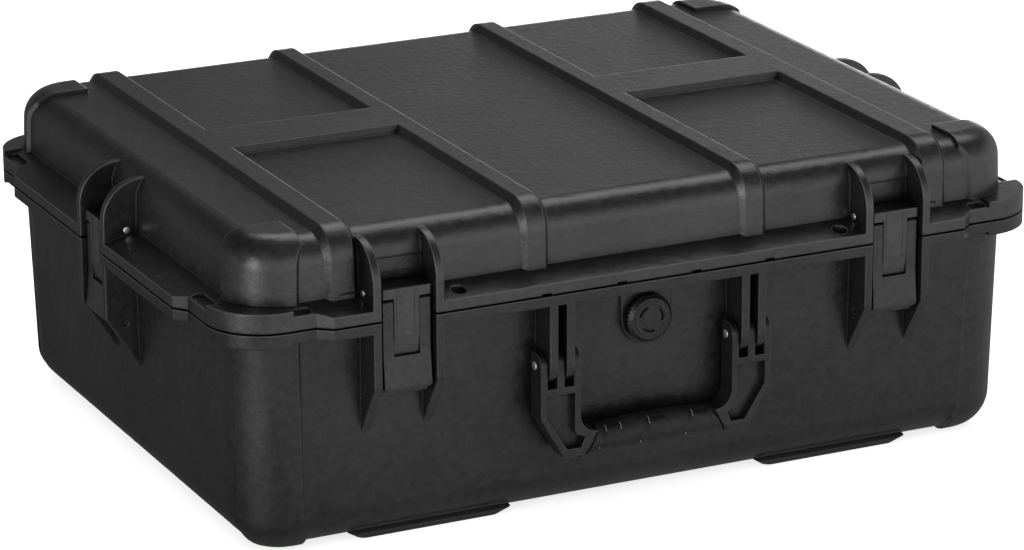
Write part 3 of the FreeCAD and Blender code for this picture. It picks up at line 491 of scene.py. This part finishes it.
def cap_pin(node, body, material):
    low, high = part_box(node)
    size = high - low
    along = max(range(3), key=lambda index: size[index])
    axis = Vector([1.0 if index == along else 0.0 for index in range(3)])
    middle = (low + high) / 2
    radius = min(size) / 2 * cap_spread
    reach = axis * size[along] / 2
    domed_cap("cap_low_" + node, middle - reach, -axis, radius, body, material)
    domed_cap("cap_high_" + node, middle + reach, axis, radius, body, material)


def cap_pins(material):
    """A cap on both ends of each handle pin and catch pin, on the body that holds the pin."""
    for body, nodes in frame["record"]["behaviour"]["bodies"].items():
        for node in nodes:
            if "handle_pin" in node or "catch_pin" in node:
                cap_pin(node, body, material)


def between(low, high, share):
    return low + (high - low) * share


def grip_pad(name, tree, axle, ends, angles, rise, material):
    """Low pad laid over the sleeve, with its rim sunk in the sleeve."""
    (low_left, low_right), (high_left, high_right) = ends
    form = bmesh.new()
    rows = []
    for row_share in pad_row_shares:
        angle = math.radians(between(*angles, row_share))
        out = Vector((0, -math.cos(angle), math.sin(angle)))
        left = between(low_left, high_left, row_share)
        right = between(low_right, high_right, row_share)
        row = []
        for column_share in pad_column_shares:
            start = Vector((between(left, right, column_share), axle.y, axle.z)) + out * probe_reach
            spot = tree.ray_cast(start, -out)[0]
            rim = row_share in (0.0, 1.0) or column_share in (0.0, 1.0)
            row.append(form.verts.new(spot + out * (-pad_sink if rim else rise)))
        rows.append(row)
    bridged(form, rows, False)
    finished_piece(name, form, "handle", material)


def nib_ends(places):
    return [((left, left + nib_width), (left, left + nib_width)) for left in places]


def pad_grip(finishes):
    """Pads, painted-shadow strips at the end joints, and painted-highlight nibs on the grip's sleeve."""
    mesh = frame["nodes"]["handle_grip"].data
    tree = BVHTree.FromPolygons([v.co for v in mesh.vertices], [p.vertices for p in mesh.polygons])
    low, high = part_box("handle_grip")
    axle = (low + high) / 2
    kinds = (("grip_pad_", grip_pads, pad_angles, pad_rise, "grip_rubber"),
             ("grip_seam_", grip_seams, seam_angles, seam_rise, "joint_shadow"),
             ("grip_high_nib_", nib_ends(high_nibs), high_nib_angles, nib_rise, "highlight_rubber"),
             ("grip_low_nib_", nib_ends(low_nibs), low_nib_angles, nib_rise, "highlight_rubber"))
    for name, places, angles, rise, finish in kinds:
        for index, ends in enumerate(places):
            grip_pad(name + str(index + 1), tree, axle, ends, angles, rise, finishes[finish])


# Studio

def build_floor():
    """White paper that glows a little, and that the case neither mirrors nor is shaded by."""
    mesh = bpy.data.meshes.new("floor")
    half = floor_size / 2
    corners = [(-half, -half, 0), (half, -half, 0), (half, half, 0), (-half, half, 0)]
    mesh.from_pydata(corners, [], [(0, 1, 2, 3)])
    floor = bpy.data.objects.new("floor", mesh)
    bpy.context.collection.objects.link(floor)
    material, shader = new_material("floor_paper")
    fibre = ramp(material, noise(material, *fibre_noise), 0.0, floor_fibre_share)
    paper = mixed_color(material, fibre, gray(floor_gray), gray(floor_fibre_gray))
    link(material, paper, shader.inputs["Base Color"])
    shader.inputs["Roughness"].default_value = floor_roughness
    shader.inputs["Emission Color"].default_value = gray(1.0)
    shader.inputs["Emission Strength"].default_value = floor_glow
    mesh.materials.append(material)
    floor.visible_glossy = False
    floor.visible_shadow = False


def area_light(name, place, target, size, power, mirrored):
    data = bpy.data.lights.new(name, "AREA")
    data.shape = "RECTANGLE"
    data.size, data.size_y = size
    data.energy = power
    light = bpy.data.objects.new(name, data)
    light.location = place
    aim = Vector(target) - Vector(place)
    light.rotation_euler = aim.to_track_quat("-Z", "Y").to_euler()
    light.visible_glossy = mirrored
    bpy.context.collection.objects.link(light)


def glowing(world, strength, way, glow):
    """Adds a soft patch of light around one direction of the sky."""
    direction, power, span = glow
    toward = add(world, "ShaderNodeVectorMath", operation="DOT_PRODUCT")
    toward.inputs[1].default_value = direction
    link(world, way, toward.inputs[0])
    return combined(world, "ADD", strength, ramp(world, toward.outputs["Value"], 0.0, power, span))


def studio_world():
    """Bright in front, dimmer to the left, behind and overhead, as the case reflects it."""
    world = bpy.data.worlds.new("studio")
    world.use_nodes = True
    background = world.node_tree.nodes["Background"]
    way = add(world, "ShaderNodeTexCoord").outputs["Generated"]
    parts = add(world, "ShaderNodeSeparateXYZ")
    link(world, way, parts.inputs["Vector"])
    across = ramp(world, parts.outputs["X"], world_left, world_right, world_across_span)
    depth = ramp(world, parts.outputs["Y"], world_front_share, world_back_share, world_depth_span)
    rise = ramp(world, parts.outputs["Z"], 1.0, world_top_share, world_rise_span)
    low = ramp(world, parts.outputs["Z"], world_low_share, world_level_share, world_low_span)
    strength = multiplied(world, multiplied(world, multiplied(world, across, depth), rise), low)
    for glow in (corner_glow, horizon_glow):
        strength = glowing(world, strength, way, glow)
    link(world, strength, background.inputs["Strength"])
    background.inputs["Color"].default_value = gray(1.0)
    bpy.context.scene.world = world


def light_studio():
    studio_world()
    for row in studio_lights:
        area_light(*row)
    bpy.context.scene.view_settings.view_transform = "Standard"


def place_camera():
    yaw = math.radians(camera_yaw)
    pitch = math.radians(camera_pitch)
    roll = math.radians(camera_roll)
    ahead = Vector((math.sin(yaw) * math.cos(pitch), math.cos(yaw) * math.cos(pitch), -math.sin(pitch)))
    level_right = ahead.cross(Vector((0, 0, 1))).normalized()
    level_up = level_right.cross(ahead)
    right = level_right * math.cos(roll) + level_up * math.sin(roll)
    up = level_up * math.cos(roll) - level_right * math.sin(roll)
    data = bpy.data.cameras.new("camera")
    data.sensor_fit = "HORIZONTAL"
    data.sensor_width = camera_sensor
    data.lens = camera_lens
    data.clip_end = camera_far
    camera = bpy.data.objects.new("camera", data)
    turn = Matrix((right, up, -ahead)).transposed().to_4x4()
    camera.matrix_world = Matrix.Translation(camera_place) @ turn
    bpy.context.collection.objects.link(camera)
    bpy.context.scene.camera = camera


finishes = all_finishes()
paint_nodes(finishes)
cap_pins(finishes["pin_steel"])
pad_grip(finishes)
build_floor()
light_studio()
place_camera()
